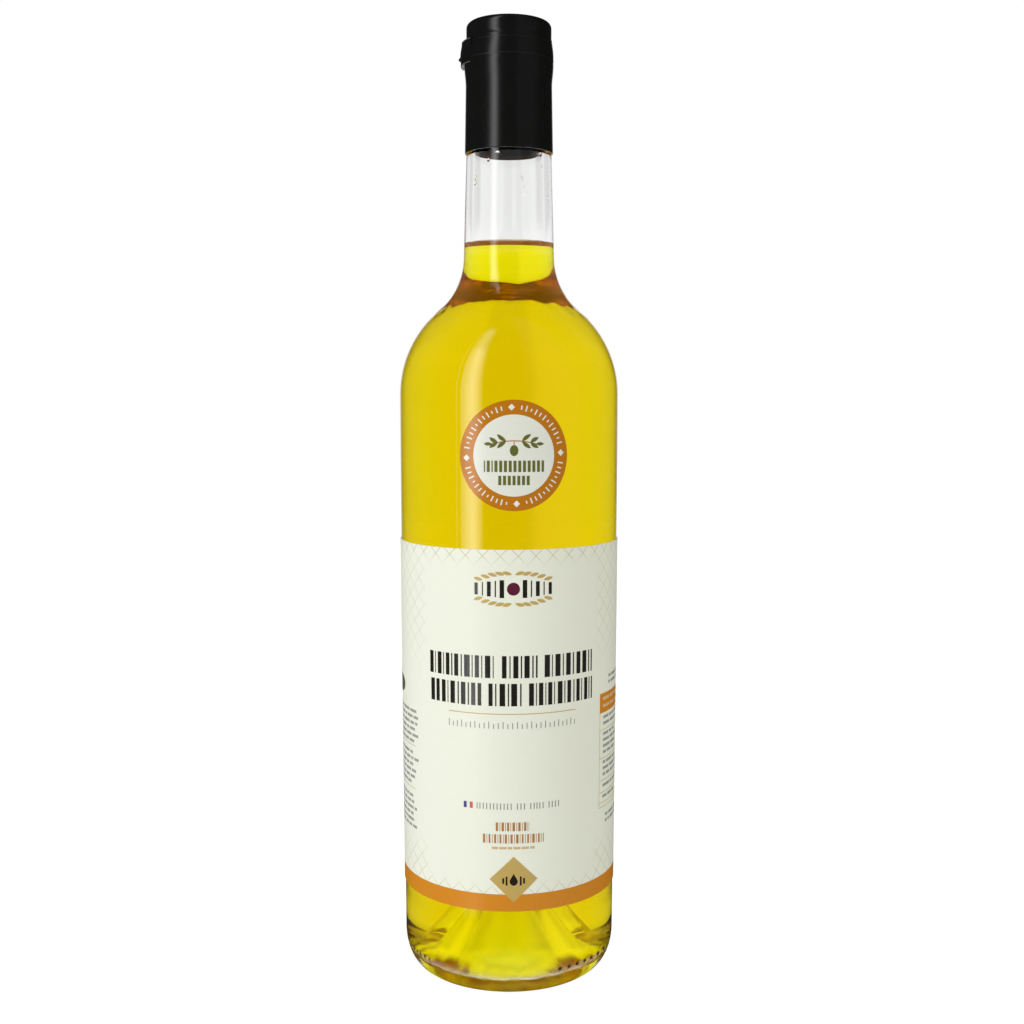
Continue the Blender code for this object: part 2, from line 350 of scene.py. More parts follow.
def outer_ripple(azimuth, radius, height):
    """Blown glass is never quite round."""
    waves = wave(azimuth, height, 5, 2.1, 0.4) + 0.7 * wave(azimuth, height, 13, -3.4, 1.9)
    waves += 0.5 * wave(azimuth, height, 23, 4.2, 5.1)
    return OUTER_RIPPLE * waves * min(1.0, radius / NECK_RADIUS)


def inner_ripple(azimuth, radius, height):
    waves = wave(azimuth, height, 3, 1.3, 2.2) + 0.6 * wave(azimuth, height, 7, -1.1, 0.7)
    waves += 0.25 * wave(azimuth, height, 16, 1.9, 3.3)
    return INNER_RIPPLE * waves * min(1.0, radius / NECK_RADIUS)


def place_inner(azimuth, radius, height):
    """Where a point of the glass's inner surface, or of the oil against it, really is."""
    rise = floor_ripple(azimuth, radius) if height < FLOOR_ZONE else 0.0
    return radius + inner_ripple(azimuth, radius, height), height + rise


def floor_ripple(azimuth, radius):
    """How far the floor inside rises: the gob leaves it uneven."""
    across, along = radius * sin(azimuth) / MM, radius * cos(azimuth) / MM
    waves = sin(0.62 * across + 0.3) * cos(0.41 * along + 0.8)
    waves += 0.6 * sin(0.95 * along - 0.37 * across + 2.0)
    waves += 0.35 * sin(1.4 * across + 0.7 * along)
    from_axis = min(1.0, radius / FLOOR_RIPPLE_REACH)
    to_side = smooth((FLOOR_RIPPLE_END - radius) / FLOOR_RIPPLE_REACH)
    return FLOOR_RIPPLE * waves * from_axis * to_side


def knurl(azimuth, radius, height):
    """Lifts the resting rim between its knurls."""
    middle = (REST_INNER_RADIUS + BASE_RADIUS) / 2
    half = (BASE_RADIUS - REST_INNER_RADIUS) / 2 + KNURL_REACH
    near = smooth(1 - abs(radius - middle) / half) * smooth(1 - height / KNURL_HEIGHT)
    return KNURL_DEPTH * near * (1 - cos(KNURLS * azimuth)) / 2


def new_piece(name, points, faces, shade_smooth=True):
    """A mesh object whose faces point out."""
    data = bpy.data.meshes.new(name)
    data.from_pydata(points, [], faces)
    mesh = bmesh.new()
    mesh.from_mesh(data)
    bmesh.ops.recalc_face_normals(mesh, faces=mesh.faces[:])
    mesh.to_mesh(data)
    mesh.free()
    if shade_smooth:
        data.shade_smooth()
        data.set_sharp_from_angle(angle=SHARP_ANGLE)
    thing = bpy.data.objects.new(name, data)
    bpy.context.scene.collection.objects.link(thing)
    return thing


def dress(piece, material, slot, *nodes):
    """Gives a piece its material and its place in the frame."""
    piece.data.materials.append(material)
    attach(piece, BODY)
    if nodes:
        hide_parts(*nodes)
    return piece


def turned(name, outline, place, sides=TURN_SIDES):
    """A closed solid of revolution, from an outline that starts and ends on the axis.

    place(azimuth, radius, height) gives the radius and height that a point really has.
    """
    points, faces, rows = [], [], []
    for radius, height in outline:
        if radius < AXIS:
            rows.append([len(points)] * sides)
            points.append((0.0, 0.0, height))
            continue
        rows.append(list(range(len(points), len(points) + sides)))
        for side in range(sides):
            azimuth = 2 * pi * side / sides
            real_radius, real_height = place(azimuth, radius, height)
            points.append(around(azimuth, real_height, real_radius))
    for low, high in zip(rows, rows[1:]):
        for side in range(sides):
            after = (side + 1) % sides
            corners = dict.fromkeys((low[side], low[after], high[after], high[side]))
            if len(corners) > 2:
                faces.append(tuple(corners))
    return new_piece(name, points, faces)


# Materials


def new_material(name):
    made = bpy.data.materials.new(name)
    made.use_nodes = True
    return made, made.node_tree, made.node_tree.nodes["Principled BSDF"]


def add_node(tree, kind, inputs=None, **settings):
    made = tree.nodes.new(kind)
    for key, value in settings.items():
        setattr(made, key, value)
    for socket, value in (inputs or {}).items():
        made.inputs[socket].default_value = value
    return made


def set_shader(shader, **values):
    """Sets sockets by name, with _ for a space."""
    for key, value in values.items():
        shader.inputs[key.replace("_", " ")].default_value = value


def noise(tree, scale, detail=2.0, stretch=(1, 1, 1)):
    """Noise over the object's own space, scale in cells a metre."""
    where = add_node(tree, "ShaderNodeTexCoord")
    mapping = add_node(tree, "ShaderNodeMapping", {"Scale": stretch})
    tree.links.new(where.outputs["Object"], mapping.inputs["Vector"])
    made = add_node(tree, "ShaderNodeTexNoise", {"Scale": scale, "Detail": detail})
    tree.links.new(mapping.outputs["Vector"], made.inputs["Vector"])
    return made.outputs["Fac"]


def ramp(tree, value, start, end, low, high, blend="SMOOTHSTEP"):
    """Goes from low to high as the value goes from start to end."""
    made = add_node(
        tree,
        "ShaderNodeMapRange",
        {"From Min": start, "From Max": end, "To Min": low, "To Max": high},
        interpolation_type=blend,
    )
    tree.links.new(value, made.inputs["Value"])
    return made.outputs["Result"]


def remap(tree, value, low, high):
    """Spreads the middle of a noise from low to high."""
    return ramp(tree, value, 0.3, 0.7, low, high, "LINEAR")


def mix(tree, share, first, second):
    """Goes from first to second, each a colour or a socket, as the share goes from 0 to 1."""
    made = add_node(tree, "ShaderNodeMix", data_type="RGBA")
    tree.links.new(share, made.inputs["Factor"])
    sockets = [item for item in made.inputs if item.type == "RGBA"]
    for socket, value in zip(sockets, (first, second)):
        if isinstance(value, tuple):
            socket.default_value = (*value, 1.0)
        else:
            tree.links.new(value, socket)
    return next(item for item in made.outputs if item.type == "RGBA")


def bump(tree, shader, height, strength, distance):
    made = add_node(tree, "ShaderNodeBump", {"Strength": strength, "Distance": distance})
    tree.links.new(height, made.inputs["Height"])
    tree.links.new(made.outputs["Normal"], shader.inputs["Normal"])


def glass_material(name, wet=False, roughness=0.0, tone=(0.992, 0.998, 0.990, 1.0)):
    """Clear glass. Where it is wet with oil, a face reflects next to nothing head on."""
    made, tree, shader = new_material(name)
    set_shader(shader, Base_Color=tone, Roughness=roughness, IOR=1.52, Transmission_Weight=1.0)
    if wet:
        set_shader(shader, Specular_Tint=(0.0, 0.0, 0.0, 1.0))
    bump(tree, shader, noise(tree, 90.0, 1.0, (1, 1, 0.3)), 0.02, 1.0 * MM)
    return made


def oil_material():
    """Golden oil, whose colour comes from the depth that the light has crossed."""
    made, tree, shader = new_material("golden_oil")
    set_shader(
        shader,
        Base_Color=(1.0, 1.0, 1.0, 1.0),
        Roughness=0.0,
        IOR=1.47,
        Transmission_Weight=1.0,
        Specular_Tint=(0.0, 0.0, 0.0, 1.0),
    )
    bump(tree, shader, noise(tree, 40.0, 1.0), 0.01, 1.0 * MM)
    look = {"Color": (0.990, 0.971, 0.0, 1.0), "Density": 260.0}
    absorption = add_node(tree, "ShaderNodeVolumeAbsorption", look)
    output = tree.nodes["Material Output"]
    tree.links.new(absorption.outputs["Volume"], output.inputs["Volume"])
    return made


def capsule_material():
    made, tree, shader = new_material("black_capsule")
    deep, pale = (0.0040, 0.0046, 0.0041), (0.0072, 0.0079, 0.0072)
    tone = mix(tree, noise(tree, 260.0, 4.0), deep, pale)
    tree.links.new(tone, shader.inputs["Base Color"])
    tree.links.new(remap(tree, noise(tree, 700.0, 3.0), 0.17, 0.23), shader.inputs["Roughness"])
    set_shader(shader, Specular_IOR_Level=0.36)
    bump(tree, shader, noise(tree, 1900.0, 3.0), 0.1, 0.02 * MM)
    return made


def paper_material():
    """Coated paper: a faint mottle in its colour, and fibres under its sheen."""
    made, tree, shader = new_material("label_paper")
    mottle = noise(tree, 420.0, 5.0)
    tone = mix(tree, mottle, (0.815, 0.835, 0.722), (0.838, 0.857, 0.748))
    tree.links.new(tone, shader.inputs["Base Color"])
    tree.links.new(remap(tree, noise(tree, 900.0, 4.0), 0.34, 0.46), shader.inputs["Roughness"])
    set_shader(shader, Specular_IOR_Level=0.3)
    bump(tree, shader, noise(tree, 2600.0, 4.0, (1, 1, 0.35)), 0.2, 0.02 * MM)
    return made


def back_material():
    """The paper's other side, seen through the oil. It glows by emission: painted light, for the light
    that comes through it.
    """
    made, tree, shader = new_material("paper_back_painted_glow")
    glow = mix(tree, noise(tree, 300.0, 4.0), (0.86, 0.86, 0.80), (0.92, 0.92, 0.86))
    tree.links.new(glow, shader.inputs["Base Color"])
    tree.links.new(glow, shader.inputs["Emission Color"])
    # The emission is painted light: the paper's back glows for the light that would come through it.
    set_shader(shader, Roughness=0.6, Emission_Strength=0.62)
    return made


def lattice_material(gold, paper):
    """Fine gold lines that fade into the paper by the strength that each point carries."""
    made, tree, shader = new_material("lattice_ink")
    strength = add_node(tree, "ShaderNodeAttribute", attribute_name="strength")
    tone = mix(tree, strength.outputs["Fac"], paper, gold)
    tree.links.new(tone, shader.inputs["Base Color"])
    set_shader(shader, Roughness=0.4)
    return made


def ink_material(name, colour, roughness, gloss=0.5):
    """Printing ink, a little uneven in its depth and sheen."""
    made, tree, shader = new_material(name)
    deep = tuple(part * 0.93 for part in colour)
    tone = mix(tree, noise(tree, 1500.0, 3.0), deep, colour)
    tree.links.new(tone, shader.inputs["Base Color"])
    grain = remap(tree, noise(tree, 1100.0, 3.0), roughness - 0.04, roughness + 0.06)
    tree.links.new(grain, shader.inputs["Roughness"])
    set_shader(shader, Specular_IOR_Level=gloss)
    bump(tree, shader, noise(tree, 2600.0, 4.0, (1, 1, 0.35)), 0.15, 0.02 * MM)
    return made


# Each ink's colour, its roughness and, where it isn't the usual one, its gloss
INKS = {
    "black_ink": ((0.016, 0.014, 0.011), 0.24),
    "grey_ink": ((0.23, 0.24, 0.22), 0.3),
    "text_ink": ((0.36, 0.37, 0.34), 0.3),
    "gold_ink": ((0.565, 0.395, 0.105), 0.34),
    "copper_ink": ((0.47, 0.20, 0.045), 0.3),
    "pale_copper_ink": ((0.66, 0.46, 0.25), 0.3),
    "orange_ink": ((0.67, 0.245, 0.006), 0.3, 0.34),
    "cream_ink": ((0.76, 0.50, 0.25), 0.3),
    "plum_ink": ((0.115, 0.008, 0.035), 0.3),
    "blue_ink": ((0.042, 0.040, 0.20), 0.3),
    "white_ink": ((0.80, 0.81, 0.74), 0.3),
    "red_ink": ((0.62, 0.075, 0.065), 0.3),
    "green_ink": ((0.105, 0.125, 0.075), 0.3),
    "seal_copper_ink": ((0.52, 0.182, 0.004), 0.17),
    "seal_white_ink": ((0.80, 0.82, 0.74), 0.22),
    "olive_ink": ((0.135, 0.145, 0.022), 0.3),
    "twig_ink": ((0.48, 0.19, 0.06), 0.3),
    # A grey paler than the capsule for the tab's edges: painted highlight, for the light that the edges
    # catch.
    "tab_rim_painted_highlight": ((0.13, 0.095, 0.10), 0.45),
    # The scored lines are real; their black, paler than the capsule, is painted highlight for the light
    # they catch.
    "score_line_painted_highlight": ((0.010, 0.011, 0.0105), 0.35),
}
LATTICE_GOLD = (0.47, 0.405, 0.165)
PAPER = (0.83, 0.85, 0.74)


# Glass, oil and capsule


def make_glass(dry, wet, matt):
    """The bottle, wet inside up to the throat and matt under the punt, where it is uneven."""
    outline = inside(0.0)
    wet_rows = len(outline) - 1
    outline += straight(outline[-1], (BORE_RADIUS, NECK_TOP), 10)
    outline += straight(outline[-1], (MOUTH_RADIUS, MOUTH_HEIGHT), 8)
    inner_points = len(outline)
    outline += outside()
    clear_rows = len(outline) - 1
    outline += list(reversed(punt(0.0)))

    def place(azimuth, radius, height):
        rise = knurl(azimuth, radius, height)
        if radius < REST_INNER_RADIUS:
            rise += PUNT_RIPPLE * floor_ripple(azimuth, radius)
        return radius + outer_ripple(azimuth, radius, height), height + rise

    rules = {pair: place_inner for pair in outline[:inner_points]}

    def place_either(azimuth, radius, height):
        return rules.get((radius, height), place)(azimuth, radius, height)

    glass = turned("bottle_glass_clear", outline, place_either)
    dress(glass, dry, "glass", "bottle_glass")
    glass.data.materials.append(wet)
    glass.data.materials.append(matt)
    for face in glass.data.polygons[: wet_rows * TURN_SIDES]:
        face.material_index = 1
    for face in glass.data.polygons[clear_rows * TURN_SIDES :]:
        face.material_index = 2


def make_oil(material):
    """The oil reaches a little into the wall, so that no air gap shows."""
    outline = inside(-INTO_WALL)
    rim_height = OIL_LEVEL + MENISCUS_HEIGHT
    rim_radius = bore_radius(rim_height) + INTO_WALL
    outline.append((rim_radius, rim_height))
    for step in range(MENISCUS_STEPS + 1):
        share = step / MENISCUS_STEPS
        in_from_wall = INTO_WALL + MENISCUS_WIDTH * share**1.6
        rise = MENISCUS_HEIGHT * (1 - share) ** 2
        outline.append((rim_radius - in_from_wall, OIL_LEVEL + rise))
    outline += straight(outline[-1], (0.0, OIL_LEVEL), 4)
    oil = turned("olive_oil_clear", outline, place_inner)
    dress(oil, material, "oil", "olive_oil")


def groove(radius, height):
    return [
        (radius, height - GROOVE_HALF),
        (radius - GROOVE_DEPTH, height - GROOVE_FLOOR_HALF),
        (radius - GROOVE_DEPTH, height + GROOVE_FLOOR_HALF),
        (radius, height + GROOVE_HALF),
    ]


def strip_radius(height):
    """The outer radius of the tear strip, which draws in above its shoulder."""
    share = min(1.0, max(0.0, (height - STRIP_SHOULDER) / (STRIP_TOP - STRIP_SHOULDER)))
    return STRIP_RADIUS - (1 - cos(pi * share / 2)) * (STRIP_RADIUS - STRIP_TOP_RADIUS)


def capsule_outside():
    """The capsule's outer surface from its foot to the middle of its top."""
    edge = CAPSULE_FOOT_EDGE
    foot = (CAPSULE_FOOT_RADIUS - edge, CAPSULE_FOOT)
    outline = [foot] + arc((foot[0], CAPSULE_FOOT + edge), edge, edge, -pi / 2, 0, 5)[1:]
    outline += straight(outline[-1], (CAPSULE_WAIST_RADIUS, CAPSULE_WAIST), 8)
    for step in range(1, SWELL_STEPS + 1):
        share = step / SWELL_STEPS
        rise = (1 - cos(pi * share)) / 2
        radius = CAPSULE_WAIST_RADIUS + rise * (STRIP_RADIUS - CAPSULE_WAIST_RADIUS)
        outline.append((radius, CAPSULE_WAIST + share * (STRIP_FOOT - CAPSULE_WAIST)))
    outline += groove(STRIP_RADIUS, STRIP_FOOT + 2 * GROOVE_HALF)
    for step in range(SWELL_STEPS + 1):
        height = STRIP_SHOULDER + step / SWELL_STEPS * (STRIP_TOP - STRIP_SHOULDER)
        outline.append((strip_radius(height), height))
    outline += groove(STRIP_TOP_RADIUS, STRIP_TOP + 2 * GROOVE_HALF)
    outline += straight(outline[-1], (CROWN_RADIUS, CROWN_FOOT), 4)
    centre = (CROWN_RADIUS - CROWN_ROUNDING, CAPSULE_TOP - CROWN_ROUNDING)
    outline += straight(outline[-1], (CROWN_RADIUS, centre[1]), 3)
    outline += arc(centre, CROWN_ROUNDING, CROWN_ROUNDING, 0, pi / 2, 12)[1:]
    return outline + straight(outline[-1], (0.0, CAPSULE_TOP), 6)


def make_capsule(material):
    ceiling = MOUTH_HEIGHT + CAPSULE_INSIDE
    outline = [(0.0, ceiling)]
    outline.append((LIP_RADIUS - LIP_ROUNDING / 2, ceiling))
    outline.append((LIP_RADIUS + CAPSULE_INSIDE, ceiling - LIP_ROUNDING))
    outline += straight(outline[-1], (FINISH_RADIUS + CAPSULE_INSIDE, NECK_TOP + FINISH_STEP), 8)
    outline.append((NECK_RADIUS + CAPSULE_INSIDE, NECK_TOP))
    outline.append((NECK_RADIUS + CAPSULE_INSIDE, CAPSULE_FOOT))
    outline += capsule_outside()

    def place(azimuth, radius, height):
        return radius, height

    capsule = turned("capsule_shell", outline, place, CAPSULE_SIDES)
    dress(capsule, material, "capsule", "capsule")


def tab_proud(along, up):
    """How far the tongue stands out: it rises from its start and is rounded at its edges."""
    lift = min(1.0, along / TAB_RISE)
    crown = max(TAB_EDGE, sin(pi * up)) ** TAB_FULLNESS
    return TAB_PROUD * lift * crown * (1.1 - TAB_LEAN * up)


def nub_proud(azimuth, height):
    across = (azimuth - NUB_AZIMUTH) / NUB_SPREAD
    up = (height - NUB_HEIGHT) / NUB_TALL
    return NUB_PROUD * exp(-(across**2) - up**2)


def tab_spot(along, up):
    """The azimuth and height of a place on the tongue, from its shares along it and up it."""
    return TAB_START + along * (TAB_END - TAB_START), TAB_FOOT + up * (TAB_TOP - TAB_FOOT)


def make_tab(material):
    """The tear strip's tongue, a closed patch over the capsule's wall."""

    def place(flat, level):
        azimuth, height = tab_spot(*flat)
        radius = STRIP_RADIUS + tab_proud(*flat) + nub_proud(azimuth, height)
        return around(azimuth, height, radius if level else TAB_ROOT_RADIUS)

    quads = bar(0.0, 1.0, 0.0, 1.0, TAB_COLUMNS, TAB_ROWS)
    dress(shell("tear_tab", quads, place)[0], material, "capsule", "capsule")


def make_tab_rims(material):
    """Strips along the tongue's foot and top, a little paler than the rest: painted highlight, for the
    light that its edges catch.
    """

    def place(flat, level):
        lift = RIM_PROUD if level else -RIM_ROOT
        return around(*tab_spot(*flat), STRIP_RADIUS + tab_proud(*flat) + lift)

    quads = []
    for row in RIM_ROWS:
        quads += bar(*RIM_SPAN, *row, RIM_COLUMNS)
    dress(shell("tab_rims", quads, place)[0], material, "capsule")


def make_strip_lines(material):
    """The two scored lines that the strip tears along, inked a little paler than the capsule: the lines
    are real, their paler black is painted highlight for the light that they catch.
    """

    def place(flat, level):
        azimuth, height = flat
        lift = STRIP_LINE_PROUD if level else -STRIP_LINE_ROOT
        return around(azimuth, height, strip_radius(height) + lift)

    quads = []
    for middle in STRIP_LINES:
        low, high = middle - STRIP_LINE_HALF, middle + STRIP_LINE_HALF
        quads += bar(0.0, 2 * pi, low, high, STRIP_LINE_COLUMNS)
    dress(shell("strip_lines", quads, place)[0], material, "capsule")


# Flat shapes, as lists of quads


def patch(place, columns, rows=1):
    """Quads over the unit square, each corner moved by place(across, up)."""
    quads = []
    for column in range(columns):
        for row in range(rows):
            corners = ((0, 0), (1, 0), (1, 1), (0, 1))
            quads.append(
                [place((column + across) / columns, (row + up) / rows) for across, up in corners]
            )
    return quads


def bar(left, right, low, high, columns=None, rows=1):
    """An upright rectangle, in enough columns to bend round the wall."""

    def place(across, up):
        return (left + across * (right - left), low + up * (high - low))

    return patch(place, columns or max(1, ceil((right - left) / PRINT_STEP)), rows)


def oval(centre, half_width, half_height, sides=40):
    """A filled ellipse."""

    def place(across, up):
        turn = 2 * pi * across
        return (
            centre[0] + half_width * up * cos(turn),
            centre[1] + half_height * up * sin(turn),
        )

    return patch(place, sides, max(1, ceil(half_width / PRINT_STEP)))


def diamond(centre, half_width, half_height):
    def place(across, up):
        along = 2 * across - 1
        return (
            centre[0] + half_width * along,
            centre[1] + half_height * (1 - abs(along)) * (2 * up - 1),
        )

    return patch(place, 2 * max(1, ceil(half_width / PRINT_STEP)))


def leaf(root, length, width, turn, bend=0.0):
    """A pointed leaf from its root, bent sideways by the share bend of its length."""

    def place(across, up):
        along = length * across
        side = width * (up - 0.5) * sin(pi * across) ** 0.8 + bend * length * sin(pi * across)
        return (
            root[0] + along * cos(turn) - side * sin(turn),
            root[1] + along * sin(turn) + side * cos(turn),
        )

    return patch(place, LEAF_STEPS)


def drop_shape(centre, half_width, half_height):
    """A drop, round below and pointed above."""

    def place(across, up):
        turn = 2 * pi * across
        taper = 1.0 if sin(turn) < 0 else (1 - sin(turn)) ** 0.75
        reach = half_height if sin(turn) > 0 else 0.62 * half_height
        return (
            centre[0] + half_width * up * cos(turn) * taper,
            centre[1] + reach * up * sin(turn),
        )

    return patch(place, DROP_STEPS)


def stroke(points, width):
    """A line of even width through the points."""
    quads = []
    for (x0, y0), (x1, y1) in zip(points, points[1:]):
        long = hypot(x1 - x0, y1 - y0)
        side = ((y0 - y1) / long * width / 2, (x1 - x0) / long * width / 2)
        quads.append(
            [
                (x0 - side[0], y0 - side[1]),
                (x1 - side[0], y1 - side[1]),
                (x1 + side[0], y1 + side[1]),
                (x0 + side[0], y0 + side[1]),
            ]
        )
    return quads


def shell(name, quads, place, shade_smooth=True):
    """The quads as a closed shell: place(flat point, level) is its back at 0, its face at 1.

    It returns the piece and, for each of its points, the flat point that it comes from.
    """
    index, flat, flat_faces = {}, [], []
    for quad in quads:
        corners = []
        for corner in quad:
            key = (round(corner[0], 9), round(corner[1], 9))
            if key not in index:
                index[key] = len(flat)
                flat.append(corner)
            if index[key] not in corners:
                corners.append(index[key])
        if len(corners) > 2:
            flat_faces.append(corners)
    count = len(flat)
    points = [place(point, level) for level in (0, 1) for point in flat]
    faces = [tuple(face) for face in flat_faces]
    faces += [tuple(corner + count for corner in reversed(face)) for face in flat_faces]
    edges = {}
    for face in flat_faces:
        for a, b in zip(face, face[1:] + face[:1]):
            edges.setdefault(frozenset((a, b)), []).append((a, b))
    for sides in edges.values():
        if len(sides) == 1:
            a, b = sides[0]
            faces.append((b, a, a + count, b + count))
    return new_piece(name, points, faces, shade_smooth), flat * 2


# Paper and ink, bent round the body


def on_bottle(low, high):
    """A place rule that bends flat shapes round the body, from low to high above its glass."""

    def place(flat, level):
        along, height = flat[0] * MM, flat[1] * MM
        lift = high if level else low
        return around(along / BODY_RADIUS, height, body_radius(height) + lift)

    return place


def print_piece(name, quads, material, layer=1, slot="label_paper"):
    """Printed shapes, as a film of ink; a higher layer lies over a lower one."""
    place = on_bottle(PAPER_FACE - INK_ROOT, PAPER_FACE + layer * INK)
    piece = shell(name, quads, place, False)[0]
    return dress(piece, material, slot)


def make_paper(name, quads, face, back, node):
    """A sheet of paper on the glass. Its back faces, which come first, show through the oil."""
    sheet = shell(name, quads, on_bottle(PAPER_BACK, PAPER_FACE), False)[0]
    dress(sheet, face, name, node)
    sheet.data.materials.append(back)
    for polygon in sheet.data.polygons[: len(quads)]:
        polygon.material_index = 1


def make_label(face, back):
    quads = bar(-LABEL_EDGE, LABEL_EDGE, LABEL_FOOT, LABEL_TOP, LABEL_COLUMNS, LABEL_ROWS)
    make_paper("label_paper", quads, face, back, "label")


# Print on the label: spans are (left, right), rows are (low, high)

TITLE_ROWS = ((108.1, 115.4), (98.9, 106.3))
TITLE_WORDS = (
    ((-28.6, -4.9), (-2.2, 9.4), (11.8, 30.8)),
    ((-28.2, -9.0), (-6.6, 4.2), (6.6, 31.0)),
)
TITLE_THICK = (1.35, 2.0)
TITLE_THIN = (0.3, 0.5)
TITLE_SPACE = (0.65, 1.05)
TITLE_REPEAT = 0.25
RULE_SPAN = (-20.7, 23.4)
RULE_HEIGHT = 96.25
RULE_WIDTH = 0.27
TICKS = (91.4, 93.7)
TICK_PITCH = 1.56
TICK_WIDTH = 0.26
TICK_CUTS = (0.0, 0.75, 0.35)

CREST = (1.5, 137.2)
CREST_BERRY = 2.1
CREST_BAR_HALVES = (0.72, 0.2, 0.62, 0.18, 0.55)
CREST_FIRST_BAR = 3.7
CREST_BAR_PITCH = 2.1
CREST_BAR_REACH = 2.9
CREST_BAR_SHORTER = 0.24
SPRAY_ROOT = (0.5, 4.7)
SPRAY_LEAVES = 5
SPRAY_PITCH = 2.35
SPRAY_CURVE = 0.12
SPRAY_LEAF = (3.2, 1.15)
SPRAY_LEAN = 0.25

FLAG_LEFT = -15.3
FLAG_FIELD = 1.08
FLAG_ROW = (64.5, 66.6)
ORIGIN_SPAN = (-10.7, 17.5)
ORIGIN_TICK = 0.3
ORIGIN_PITCHES = (0.95, 1.15, 1.15, 2.1)
COPPER_BARS = (((-4.3, 6.9), (57.3, 60.2)), ((-8.6, 11.7), (53.2, 56.2)))
COPPER_THICK = (0.55, 0.8)
COPPER_THIN = 0.2
COPPER_SPACE = (0.4, 0.55)
TINY_SPAN = (-5.6, 8.6)
TINY_ROW = (51.2, 52.0)

LOZENGE = (1.6, 41.0)
LOZENGE_HALF = (8.0, 7.7)
LOZENGE_MARK = (1.6, 40.5)
LOZENGE_DROP = (1.35, 2.5)
LOZENGE_BARS = ((2.35, 1.5), (3.45, 0.95))
LOZENGE_BAR_HALF = 0.3
BAND_TOP = 35.9

TABLE_LEFT = 35.8
TABLE_RIGHT = 84.0
TABLE_HEADER = (92.4, 99.1)
TABLE_RULES = (86.5, 76.7, 69.0, 64.8, 61.3)
TABLE_FOOT = 59.7
HEADER_INSET = 1.9
HEADER_LINES = ((14.0, 96.7, 97.8), (22.0, 94.2, 95.2))
NAME_SPAN = (TABLE_LEFT + 2.4, TABLE_LEFT + 22)
VALUE_SPAN = (TABLE_RIGHT - 12, TABLE_RIGHT - 2)
CELL_MARGIN = 0.9
CELL_DROP = 0.3
SMALLEST_CELL = 2.0
BLOCKS_ROUND_TABLE = ((6.2, 104.9), (4.6, 57.0))
FINE_LINE = 0.16
LEFT_COLUMN = (-84.0, -34.3)
LEFT_RULES = (80.9, 66.0)
LEFT_RULE_SHORTER = 3.6
LEFT_BLOCKS = ((0, 93.3, 4), (1, 78.8, 5), (1, 63.6, 5))
LEFT_BLOCK_LINES = 6
EMBLEM = (-52.9, 100.4)
EMBLEM_HALF = (6.0, 3.2)
EMBLEM_LEAF = (9.0, 3.0)
TEXT_PITCH = 2.1
TEXT_HEIGHT = 0.95
SHORTEST_DASH = 1.4
LONGEST_DASH = 6.0
DASH_SPACE = 0.8

LATTICE_WIDTH = 5.75
LATTICE_HEIGHT = 5.9
LATTICE_LINE = 0.17
LATTICE_STEPS = 4
LATTICE_CROSSING = (-2.72, 147.8)
LATTICE_MIDDLE = 1.0
LATTICE_EDGE_GAP = 0.3
LATTICE_TOP_GAP = 0.05
LATTICE_FAINTEST = 0.05
PRINT_SEED = 7

# Where the lattice starts to show and how far on it is full, with a minus sign if downwards
SIDE_FADE = (30.6, 3.0)
TOP_FADE = (143.2, 6.5)
UPPER_EDGE_FADE = (104.0, 20.0)
FOOT_FADE = (40.6, -4.2)
CORNER_FADE = (54.0, -12.0)


def title_word(rng, left, right, low, high):
    """Thick and thin upright bars that fill the space of a word."""
    quads = []
    along = left
    thick = True
    while along < right:
        width = rng.uniform(*(TITLE_THICK if thick else TITLE_THIN))
        quads += bar(along, min(along + width, right), low, high)
        along += width + rng.uniform(*TITLE_SPACE)
        thick = not thick or rng.random() < TITLE_REPEAT
    return quads


def dashes(rng, left, right, low, high, longest=LONGEST_DASH, space=DASH_SPACE):
    """Word-like dashes from left to right, the last one cut where it falls."""
    quads = []
    along = left
    while along < right - DASH_SPACE:
        width = rng.uniform(SHORTEST_DASH, longest)
        quads += bar(along, min(along + width, right), low, high)
        along += width + space
    return quads


def text_block(rng, left, right, top, lines, ragged, flush_right=False):
    """Lines of dashes under one another; one end of each line is ragged."""
    quads = []
    for line in range(lines):
        low = top - TEXT_HEIGHT - line * TEXT_PITCH
        cut = rng.uniform(0.0, ragged)
        start = left + (cut if flush_right else 0.0)
        end = right - (0.0 if flush_right else cut)
        quads += dashes(rng, start, end, low, low + TEXT_HEIGHT)
    return quads


def rule(left, right, height, width=FINE_LINE):
    """A level line."""
    return bar(left, right, height - width / 2, height + width / 2)


def make_title(rng, inks):
    quads = []
    for row, words in zip(TITLE_ROWS, TITLE_WORDS):
        for word in words:
            quads += title_word(rng, *word, *row)
    print_piece("title_bars", quads, inks["black_ink"])
    print_piece("title_rule", rule(*RULE_SPAN, RULE_HEIGHT, RULE_WIDTH), inks["gold_ink"])
    ticks = []
    count = round((RULE_SPAN[1] - RULE_SPAN[0]) / TICK_PITCH)
    for tick in range(count + 1):
        along = RULE_SPAN[0] + tick * TICK_PITCH
        cut = TICK_CUTS[tick % len(TICK_CUTS)]
        ticks += bar(along, along + TICK_WIDTH, TICKS[0], TICKS[1] - cut)
    print_piece("subtitle_ticks", ticks, inks["grey_ink"])


